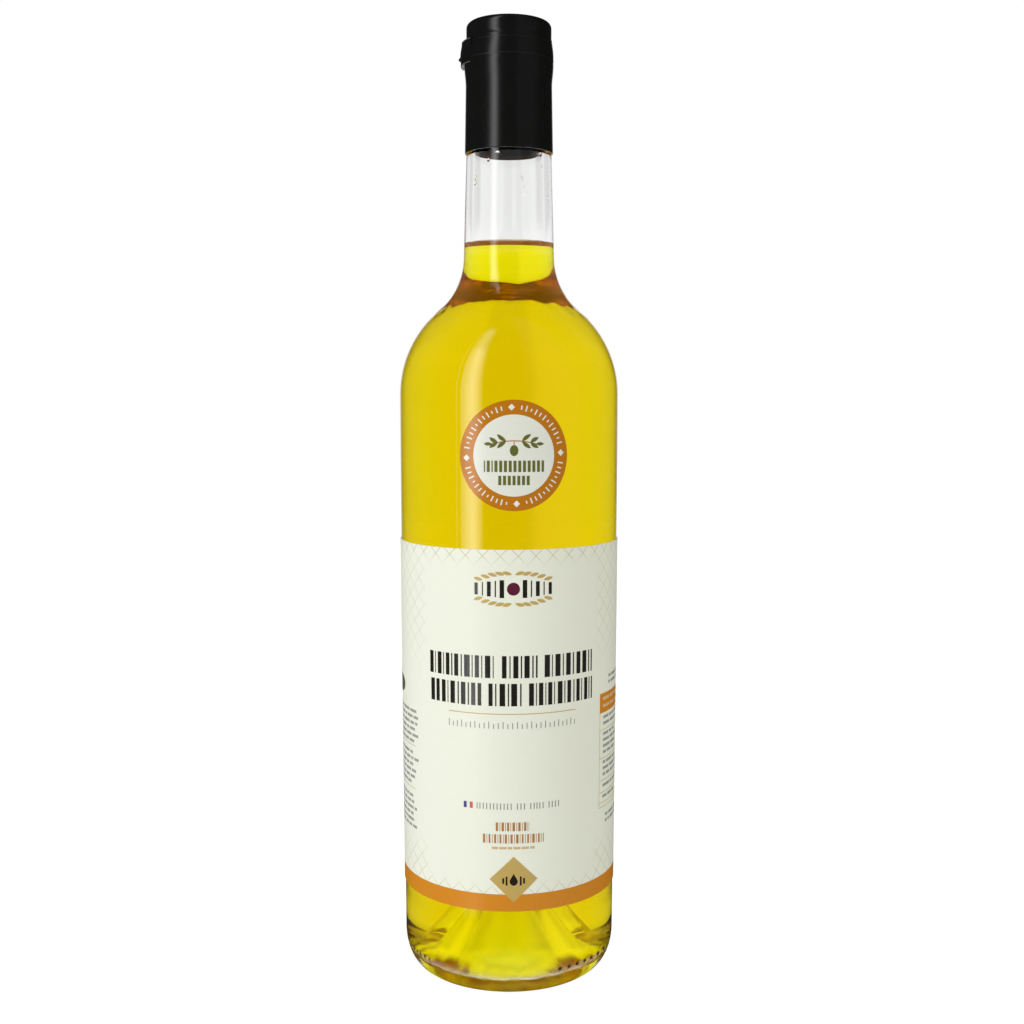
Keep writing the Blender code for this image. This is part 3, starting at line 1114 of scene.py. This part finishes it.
def make_crest(inks):
    """A plain ornament above the title: a round berry between bars and two gold sprays."""
    along, up = CREST
    print_piece("crest_berry", oval(CREST, CREST_BERRY, CREST_BERRY, 32), inks["plum_ink"])
    bars = []
    for side in (-1, 1):
        for index, half in enumerate(CREST_BAR_HALVES):
            middle = along + side * (CREST_FIRST_BAR + CREST_BAR_PITCH * index)
            reach = CREST_BAR_REACH - CREST_BAR_SHORTER * index
            bars += bar(middle - half, middle + half, up - reach, up + reach)
    print_piece("crest_bars", bars, inks["black_ink"])
    sprays = []
    for side in (-1, 1):
        for level in (-1, 1):
            turn = facing(side) + side * level * SPRAY_LEAN
            for index in range(SPRAY_LEAVES):
                root = (
                    along + side * (SPRAY_ROOT[0] + SPRAY_PITCH * index),
                    up + level * (SPRAY_ROOT[1] - SPRAY_CURVE * index**2),
                )
                sprays += leaf(root, *SPRAY_LEAF, turn)
    print_piece("crest_sprays", sprays, inks["gold_ink"])


def facing(side):
    """The direction of something that points right, for side 1, or left, for side -1."""
    return 0.0 if side > 0 else pi


def make_origin(rng, inks):
    """Three flag fields, and a line of grey beside them."""
    for index, name in enumerate(("blue", "white", "red")):
        left = FLAG_LEFT + index * FLAG_FIELD
        print_piece(f"flag_{name}", bar(left, left + FLAG_FIELD, *FLAG_ROW), inks[f"{name}_ink"])
    ticks = []
    along = ORIGIN_SPAN[0]
    while along < ORIGIN_SPAN[1]:
        ticks += bar(along, along + ORIGIN_TICK, *FLAG_ROW)
        along += rng.choice(ORIGIN_PITCHES)
    print_piece("origin_ticks", ticks, inks["grey_ink"])


def make_copper_rows(rng, inks):
    quads = []
    for (left, right), row in COPPER_BARS:
        along = left
        thick = True
        while along < right:
            width = rng.uniform(*COPPER_THICK) if thick else COPPER_THIN
            quads += bar(along, min(right, along + width), *row)
            along += width + rng.uniform(*COPPER_SPACE)
            thick = not thick
    print_piece("copper_bars", quads, inks["copper_ink"])
    tiny = dashes(rng, *TINY_SPAN, *TINY_ROW, 2.6, 0.4)
    print_piece("tiny_dashes", tiny, inks["pale_copper_ink"])


def make_band(inks):
    """The orange band along the foot, the gold lozenge over it and a drop on the lozenge."""
    band = bar(-LABEL_EDGE, LABEL_EDGE, LABEL_FOOT, BAND_TOP)
    print_piece("foot_band", band, inks["orange_ink"])
    print_piece("lozenge", diamond(LOZENGE, *LOZENGE_HALF), inks["gold_ink"], 2)
    mark = drop_shape(LOZENGE_MARK, *LOZENGE_DROP)
    for side in (-1, 1):
        for out, reach in LOZENGE_BARS:
            left = LOZENGE_MARK[0] + side * out - LOZENGE_BAR_HALF
            low = LOZENGE_MARK[1] - reach
            mark += bar(left, left + 2 * LOZENGE_BAR_HALF, low, low + 2 * reach)
    print_piece("lozenge_mark", mark, inks["black_ink"], 3)


def make_table(rng, inks):
    """The table at the right: a headed column of rows between thin gold lines."""
    header = bar(TABLE_LEFT, TABLE_RIGHT, *TABLE_HEADER)
    print_piece("table_header", header, inks["orange_ink"])
    words = []
    for short, low, high in HEADER_LINES:
        words += dashes(rng, TABLE_LEFT + HEADER_INSET, TABLE_RIGHT - short, low, high)
    print_piece("table_header_dashes", words, inks["cream_ink"], 2)
    heights = (*TABLE_RULES, TABLE_FOOT)
    lines = []
    for height in heights:
        lines += rule(TABLE_LEFT, TABLE_RIGHT, height)
    for along in (TABLE_LEFT, TABLE_RIGHT):
        lines += bar(along, along + FINE_LINE, TABLE_FOOT, TABLE_HEADER[0])
    print_piece("table_lines", lines, inks["gold_ink"])
    quads = []
    for top, foot in zip((TABLE_HEADER[0], *TABLE_RULES), heights):
        if top - foot < SMALLEST_CELL:
            continue
        count = max(1, int((top - foot - CELL_MARGIN) / TEXT_PITCH))
        start = top - (top - foot - count * TEXT_PITCH) / 2 - CELL_DROP
        quads += text_block(rng, *NAME_SPAN, start, count, 8)
        quads += text_block(rng, *VALUE_SPAN, start, count, 5, True)
    for inset, top in BLOCKS_ROUND_TABLE:
        quads += text_block(rng, TABLE_LEFT + inset, TABLE_RIGHT, top, 2, 12)
    return quads


def make_left_column(rng, inks):
    """The left column: a green emblem, then text between thin gold lines."""
    left, right = LEFT_COLUMN
    quads = []
    for short, top, ragged in LEFT_BLOCKS:
        quads += text_block(rng, left, right - short, top, LEFT_BLOCK_LINES, ragged)
    lines = []
    for height in LEFT_RULES:
        lines += rule(left, right - LEFT_RULE_SHORTER, height)
    print_piece("column_lines", lines, inks["gold_ink"])
    emblem = oval(EMBLEM, *EMBLEM_HALF, 48)
    leaf_root = (EMBLEM[0] - 2, EMBLEM[1] + EMBLEM_HALF[1])
    emblem += leaf(leaf_root, *EMBLEM_LEAF, radians(150))
    print_piece("column_emblem", emblem, inks["green_ink"])
    return quads


def fade(value, start, width):
    return smooth((value - start) / width)


def lattice_strength(along, height):
    """How strongly the lattice prints: it fades down from the top and in from the sides."""
    side = fade(abs(along - LATTICE_MIDDLE), *SIDE_FADE)
    return max(
        fade(height, *TOP_FADE),
        0.5 * side * fade(height, *UPPER_EDGE_FADE),
        0.8 * fade(height, *FOOT_FADE),
        0.7 * side * fade(height, *CORNER_FADE),
    )


def lattice_line(column, lean):
    """The parts that show of one slanting line, which crosses its mirror image at column."""
    quads = []
    rise = LATTICE_HEIGHT / LATTICE_STEPS
    top = LABEL_TOP - LATTICE_TOP_GAP
    middle, crossing = LATTICE_CROSSING
    for row in range(ceil((top - BAND_TOP) / rise)):
        ends = []
        for height in (BAND_TOP + row * rise, min(top, BAND_TOP + (row + 1) * rise)):
            across = lean * (height - crossing) * LATTICE_WIDTH / LATTICE_HEIGHT
            ends.append((middle + column * LATTICE_WIDTH + across, height))
        centre = [(a + b) / 2 for a, b in zip(*ends)]
        on_label = max(abs(end[0]) for end in ends) < LABEL_EDGE - LATTICE_EDGE_GAP
        if on_label and lattice_strength(*centre) > LATTICE_FAINTEST:
            quads += stroke(ends, LATTICE_LINE)
    return quads


def make_lattice(material):
    """The diamond lattice as fine lines, each point carrying how strongly it prints."""
    quads = []
    reach = 2 * ceil(LABEL_EDGE / LATTICE_WIDTH)
    for column in range(-reach, reach + 1):
        for lean in (-1, 1):
            quads += lattice_line(column, lean)
    place = on_bottle(PAPER_FACE - INK_ROOT, PAPER_FACE + 0.4 * INK)
    lattice, flat = shell("label_lattice", quads, place, False)
    strength = lattice.data.attributes.new("strength", "FLOAT", "POINT")
    for index, point in enumerate(flat):
        strength.data[index].value = lattice_strength(*point)
    dress(lattice, material, "label_paper")


# Seal, with its print counted from its middle

SEAL_DISC = 13.05
SEAL_MARKS = 60
SEAL_DIAMONDS = 4
SEAL_DIAMOND = 1.1
SEAL_RAYS = (0.95, 0.7, 0.95, 0.45)
SEAL_RAY_WIDTH = 0.42
SEAL_BARS = ((9.6, -5.2, -1.6), (5.0, -9.4, -6.4))
SEAL_BAR_WIDTHS = (0.4, 0.95, 0.95)
SEAL_BAR_SPACE = 0.55
SPRIG_RISE = 3.6
TWIG_HALF = 7.2
TWIG_CROWN = 1.1
TWIG_STEPS = 4
TWIG_WIDTH = 0.34
STALK_FOOT = -0.6
STALK_WIDTH = 0.28
LEAF_PAIRS = ((0.35, 3.6, 38), (0.72, 3.1, 32))
LEAF_WIDTH = 1.25
LEAF_BEND = 0.04
TIP_SHARE = 0.97
TIP_RISE = 0.1
TIP_LEAF = (2.6, 1.1)
OLIVE_DROP = 2.0
OLIVE_HALF = (1.35, 1.75)


def make_seal(inks, back):
    """The round seal: a copper ring with marks round a white disc with an olive sprig."""
    middle = (SEAL_ALONG, SEAL_HEIGHT)
    disc = oval(middle, SEAL_RADIUS, SEAL_RADIUS, 120)
    make_paper("seal_paper", disc, inks["seal_copper_ink"], back, "seal")
    face = oval(middle, SEAL_DISC, SEAL_DISC, 100)
    print_piece("seal_disc", face, inks["seal_white_ink"], 1, "seal_paper")
    print_piece("seal_marks", seal_marks(*middle), inks["seal_white_ink"], 1, "seal_paper")
    make_sprig(middle[0], middle[1] + SPRIG_RISE, inks)
    print_piece("seal_bars", seal_bars(*middle), inks["olive_ink"], 2, "seal_paper")


def seal_marks(along, up):
    """Short rays round the ring, with a gap and a diamond at each quarter."""
    marks = []
    radius = (SEAL_DISC + SEAL_RADIUS) / 2
    quarter = SEAL_MARKS // SEAL_DIAMONDS
    for index in range(SEAL_MARKS):
        turn = 2 * pi * (index + 0.5) / SEAL_MARKS
        if index % quarter == 0:
            centre = (along + radius * cos(turn), up + radius * sin(turn))
            marks += diamond(centre, SEAL_DIAMOND, SEAL_DIAMOND)
        elif index % quarter not in (1, quarter - 1):
            reach = SEAL_RAYS[index % len(SEAL_RAYS)]
            ends = [
                (along + end * cos(turn), up + end * sin(turn))
                for end in (radius - reach, radius + reach)
            ]
            marks += stroke(ends, SEAL_RAY_WIDTH)
    return marks


def seal_bars(along, up):
    """Two rows of upright bars across the disc's lower half."""
    bars = []
    for row, (half, low, high) in enumerate(SEAL_BARS):
        place = -half
        while place < half:
            width = SEAL_BAR_WIDTHS[(round(place * 10) + row) % len(SEAL_BAR_WIDTHS)]
            right = min(place + width, half)
            bars += bar(along + place, along + right, up + low, up + high)
            place += width + SEAL_BAR_SPACE
    return bars


def make_sprig(along, up, inks):
    """A level twig with pairs of leaves and one olive under its middle."""

    def on_twig(share):
        return (along + TWIG_HALF * share, up + TWIG_CROWN * (1 - share**2))

    twig = stroke([on_twig(step / TWIG_STEPS) for step in range(-TWIG_STEPS, TWIG_STEPS + 1)], TWIG_WIDTH)
    twig += stroke((on_twig(0.0), (along, up + STALK_FOOT)), STALK_WIDTH)
    print_piece("seal_twig", twig, inks["twig_ink"], 2, "seal_paper")
    leaves = []
    for side in (-1, 1):
        for share, length, lean in LEAF_PAIRS:
            for level in (-1, 1):
                turn = facing(side) + side * level * radians(lean)
                leaves += leaf(on_twig(side * share), length, LEAF_WIDTH, turn, LEAF_BEND * level)
        tip = (along + side * TWIG_HALF * TIP_SHARE, up + TIP_RISE)
        leaves += leaf(tip, *TIP_LEAF, facing(side))
    leaves += oval((along, up - OLIVE_DROP), *OLIVE_HALF, 28)
    print_piece("seal_leaves", leaves, inks["olive_ink"], 2, "seal_paper")


# Small marks in the glass, and drops in the neck: azimuths are degrees, sizes millimetres

HEEL_DOTS = (28.0, 33.9, 39.3, 44.9, 50.4, 57.0, 63.8)
HEEL_DOT = (0.72, 0.72, 0.45)
HEEL_DASHES = ((-64.0, 1.2), (-60.0, 0.6), (-56.5, 1.2), (-52.0, 0.9), (-48.0, 0.6))
HEEL_DASH_HALF = 0.3
HEEL_DASH_PROUD = 0.3
HEEL_MARK_HEIGHT = 8.4
HEEL_MARK_ROOT = 0.12
DROPS = (
    (-61, 269.8, 0.85),
    (-59, 271.6, 0.45),
    (-33, 276.4, 0.5),
    (-18, 278.3, 0.75),
    (21, 270.9, 0.45),
    (22, 269.6, 0.35),
    (25, 267.6, 0.4),
    (55, 278.6, 0.6),
    (59, 275.0, 0.35),
    (65, 271.7, 0.3),
    (74, 264.9, 0.6),
    (150, 268.0, 0.6),
    (-120, 262.0, 0.5),
    (112, 271.0, 0.5),
)
DROP_SHAPE = (1.0, 1.25, -0.4)
DROP_ROOT = -0.05


def heel_radius(height):
    share = (HEEL_HEIGHT - height) / HEEL_HEIGHT
    return BASE_RADIUS + (HEEL_RADIUS - BASE_RADIUS) * (1 - share**2) ** 0.5


def blister(radius_at, degrees, height, half, root, sides=20, rings=6):
    """Points and faces of a closed lens that swells from a turned wall.

    half is its half width, its half height and how far it stands out, and its back lies
    root inside the wall, all in millimetres. In a bore, the last two are negative.
    """
    points, faces = [], []
    half_width, half_height, proud = (size * MM for size in half)
    height *= MM
    for level in (0, 1):
        for ring in range(rings + 1):
            share = ring / rings
            for side in range(sides if ring else 1):
                turn = 2 * pi * side / sides
                up = height + half_height * share * sin(turn)
                across = radians(degrees) + half_width * share * cos(turn) / radius_at(height)
                lift = proud * (1 - share**2) if level else -root * MM
                points.append(around(across, up, radius_at(up) + lift))
    one_side = 1 + rings * sides

    def corner(level, ring, side):
        if ring == 0:
            return level * one_side
        return level * one_side + 1 + (ring - 1) * sides + side % sides

    for side in range(sides):
        after = side + 1
        for level in (0, 1):
            faces.append((corner(level, 0, 0), corner(level, 1, side), corner(level, 1, after)))
            for near in range(1, rings):
                inner = (corner(level, near, side), corner(level, near, after))
                outer = (corner(level, near + 1, side), corner(level, near + 1, after))
                faces.append((inner[0], outer[0], outer[1], inner[1]))
        back = (corner(0, rings, side), corner(0, rings, after))
        front = (corner(1, rings, side), corner(1, rings, after))
        faces.append((back[0], back[1], front[1], front[0]))
    return points, faces


def make_blisters(name, radius_at, shapes, material, slot):
    """Many lenses as one piece."""
    points, faces = [], []
    for shape in shapes:
        more_points, more_faces = blister(radius_at, *shape)
        faces += [tuple(corner + len(points) for corner in face) for face in more_faces]
        points += more_points
    dress(new_piece(name, points, faces), material, slot)


def make_heel_marks(material):
    """Mould marks: a row of dots at the right of the heel and a few dashes at the left, in glass tinted
    dark: painted shade, for the darkness that they refract.
    """
    shapes = [(degrees, HEEL_MARK_HEIGHT, HEEL_DOT, HEEL_MARK_ROOT) for degrees in HEEL_DOTS]
    for degrees, tall in HEEL_DASHES:
        half = (HEEL_DASH_HALF, tall, HEEL_DASH_PROUD)
        shapes.append((degrees, HEEL_MARK_HEIGHT, half, HEEL_MARK_ROOT))
    make_blisters("heel_marks", heel_radius, shapes, material, "glass")


def make_drops(material):
    """Drops of oil that cling to the bore above the level."""
    shapes = []
    for degrees, height, size in DROPS:
        half = [size * share for share in DROP_SHAPE]
        shapes.append((degrees, height, half, DROP_ROOT))
    make_blisters("neck_drops", bore_radius, shapes, material, "oil")


# Studio


def maths(tree, operation, *values):
    """A sum node over numbers and sockets."""
    made = add_node(tree, "ShaderNodeMath", operation=operation)
    for socket, value in zip(made.inputs, values):
        if isinstance(value, float):
            socket.default_value = value
        else:
            tree.links.new(value, socket)
    return made.outputs["Value"]


def product(tree, *values):
    return reduce(lambda first, second: maths(tree, "MULTIPLY", first, second), values)


def total(tree, *values):
    return reduce(lambda first, second: maths(tree, "ADD", first, second), values)


def largest(tree, *values):
    return reduce(lambda first, second: maths(tree, "MAXIMUM", first, second), values)


def band(tree, value, up_start, up_end, down_start, down_end, top=1.0):
    """Nought outside a band of the value and top inside it."""
    rising = ramp(tree, value, up_start, up_end, 0.0, top)
    falling = ramp(tree, value, down_start, down_end, 1.0, 0.0)
    return product(tree, rising, falling)


def lit_through(tree, x, y, z):
    """What a ray meets that has gone through glass, by its direction."""
    behind = maths(tree, "ABSOLUTE", maths(tree, "ARCTAN2", x, y))
    strip_angle = product(tree, behind, ramp(tree, z, *STRIP_NARROWS))
    lowered = band(tree, z, *LOWERED)
    sides = largest(tree, ramp(tree, behind, *SIDES), lowered)
    flag = largest(tree, ramp(tree, behind, *FLAG), ramp(tree, behind, *FLAG_END), lowered)
    lift = total(tree, 1.0, band(tree, z, *SHOULDER_LIFT), ramp(tree, z, *NECK_LIFT))
    edge = product(tree, band(tree, behind, *NECK_EDGE), band(tree, z, *NECK_BAND))
    dim = total(tree, ramp(tree, z, *ABOVE_DIM), edge)
    streak = product(tree, ramp(tree, behind, *STREAK), ramp(tree, z, *STREAK_TOP))
    level = product(
        tree,
        ramp(tree, strip_angle, *STRIP),
        sides,
        flag,
        lift,
        maths(tree, "SUBTRACT", 1.0, dim),
        maths(tree, "SUBTRACT", 1.0, streak),
        ramp(tree, z, *OVERHEAD),
    )
    front_low = product(tree, ramp(tree, y, *FRONT), ramp(tree, z, *FRONT_TOP))
    return mix(tree, front_low, level, FRONT_LOW_COLOUR)


def mirrored(tree, x, y, z):
    """What glossy surfaces mirror: the softbox, a faint fill and a bright rim behind."""
    bearing = maths(tree, "ARCTAN2", x, maths(tree, "MULTIPLY", y, -1.0))
    softbox = add_node(tree, "ShaderNodeValToRGB")
    set_stops(softbox.color_ramp, SOFTBOX_PROFILE)
    share = ramp(tree, bearing, SOFTBOX_START, SOFTBOX_END, 0.0, 1.0, "LINEAR")
    tree.links.new(share, softbox.inputs["Fac"])
    heights = [ramp(tree, z, *limits) for limits in SOFTBOX_HEIGHTS]
    window = product(tree, softbox.outputs["Color"], *heights, SOFTBOX_RADIANCE)
    return total(tree, window, band(tree, bearing, *FILL), ramp(tree, y, *RIM_LIGHT))


def make_world():
    """The studio: white to the camera, and its own light for each kind of ray."""
    world = bpy.data.worlds.new("studio")
    bpy.context.scene.world = world
    world.use_nodes = True
    tree = world.node_tree
    where = add_node(tree, "ShaderNodeTexCoord")
    parts = add_node(tree, "ShaderNodeSeparateXYZ")
    tree.links.new(where.outputs["Generated"], parts.inputs["Vector"])
    x, y, z = parts.outputs
    path = add_node(tree, "ShaderNodeLightPath").outputs
    radiance = mix(tree, ramp(tree, x, -0.8, 0.9, 0.0, 1.0), AMBIENT_LEFT, AMBIENT_RIGHT)
    radiance = mix(tree, path["Is Glossy Ray"], radiance, mirrored(tree, x, y, z))
    radiance = mix(tree, path["Is Transmission Ray"], radiance, lit_through(tree, x, y, z))
    radiance = mix(tree, path["Is Camera Ray"], radiance, WHITE)
    tree.links.new(radiance, tree.nodes["Background"].inputs["Color"])


def set_stops(colour_ramp, stops):
    """Gives a colour ramp its greys, from (position, level) pairs."""
    first, last = colour_ramp.elements[0], colour_ramp.elements[-1]
    first.position, first.color = stops[0][0], (stops[0][1],) * 3 + (1.0,)
    last.position, last.color = stops[-1][0], (stops[-1][1],) * 3 + (1.0,)
    for position, grey in stops[1:-1]:
        colour_ramp.elements.new(position).color = (grey, grey, grey, 1.0)


def make_key_light():
    """A tall rectangular light facing the bottle's axis, which no mirror or glass shows."""
    light = bpy.data.lights.new("key", "AREA")
    light.shape = "RECTANGLE"
    light.size, light.size_y = KEY_SIZE
    light.energy = KEY_RADIANCE * pi * KEY_SIZE[0] * KEY_SIZE[1]
    thing = bpy.data.objects.new("key", light)
    thing.location = around(KEY_AZIMUTH, KEY_HEIGHT, KEY_DISTANCE)
    thing.rotation_euler = (pi / 2, 0.0, KEY_AZIMUTH)
    thing.visible_camera = False
    thing.visible_glossy = False
    thing.visible_transmission = False
    bpy.context.scene.collection.objects.link(thing)


def make_floor():
    """A pale floor just under the bottle, which glass and gloss don't show."""
    corners = [(x * FLOOR_HALF, y * FLOOR_HALF, 0.0) for x, y in ((-1, -1), (1, -1), (1, 1), (-1, 1))]
    data = bpy.data.meshes.new("floor")
    data.from_pydata(corners, [], [(0, 1, 2, 3)])
    floor = bpy.data.objects.new("floor", data)
    floor.location.z = FLOOR_DROP
    bpy.context.scene.collection.objects.link(floor)
    made, tree, shader = new_material("pale_floor")
    tone = mix(tree, noise(tree, 3.0), (0.20, 0.20, 0.20), (0.22, 0.22, 0.22))
    tree.links.new(tone, shader.inputs["Base Color"])
    set_shader(
        shader,
        Roughness=0.9,
        Specular_IOR_Level=0.0,
        Emission_Color=(*WHITE, 1.0),
        Emission_Strength=0.97,
    )
    data.materials.append(made)
    floor.visible_glossy = False
    floor.visible_transmission = False


def make_camera():
    camera = bpy.data.cameras.new("camera")
    camera.lens = LENS
    camera.sensor_width = SENSOR
    camera.clip_start = 0.01
    thing = bpy.data.objects.new("camera", camera)
    thing.location = EYE
    thing.rotation_euler = (pi / 2 - EYE_TILT, 0.0, 0.0)
    bpy.context.scene.collection.objects.link(thing)
    bpy.context.scene.camera = thing


def set_light_paths():
    """Enough bounces for the light that is passed round inside the heel."""
    scene = bpy.context.scene
    scene.view_settings.view_transform = "Standard"
    scene.cycles.max_bounces = 160
    scene.cycles.transmission_bounces = 160
    scene.cycles.glossy_bounces = 80
    scene.cycles.transparent_max_bounces = 16


def make_bottle(inks):
    oil = oil_material()
    make_glass(
        glass_material("clear_glass"),
        glass_material("wet_glass", wet=True),
        glass_material("punt_glass", roughness=0.26),
    )
    make_oil(oil)
    # The marks' dark olive-brown tint is painted shade, for the darkness that the dots refract.
    make_heel_marks(glass_material("mark_glass_painted_shade", tone=(0.10, 0.09, 0.035, 1.0)))
    make_drops(oil)
    black = capsule_material()
    make_capsule(black)
    make_tab(black)
    # The tab's rims are painted highlight on its edges.
    make_tab_rims(inks["tab_rim_painted_highlight"])
    make_strip_lines(inks["score_line_painted_highlight"])


def make_print(inks):
    rng = random.Random(PRINT_SEED)
    make_title(rng, inks)
    make_crest(inks)
    make_origin(rng, inks)
    make_copper_rows(rng, inks)
    make_band(inks)
    small_text = make_table(rng, inks)
    small_text += make_left_column(rng, inks)
    print_piece("small_text", small_text, inks["text_ink"])
    make_lattice(lattice_material(LATTICE_GOLD, PAPER))


def main():
    make_camera()
    set_light_paths()
    make_world()
    make_floor()
    make_key_light()
    inks = {name: ink_material(name, *look) for name, look in INKS.items()}
    make_bottle(inks)
    back = back_material()
    make_label(paper_material(), back)
    make_print(inks)
    make_seal(inks, back)


main()
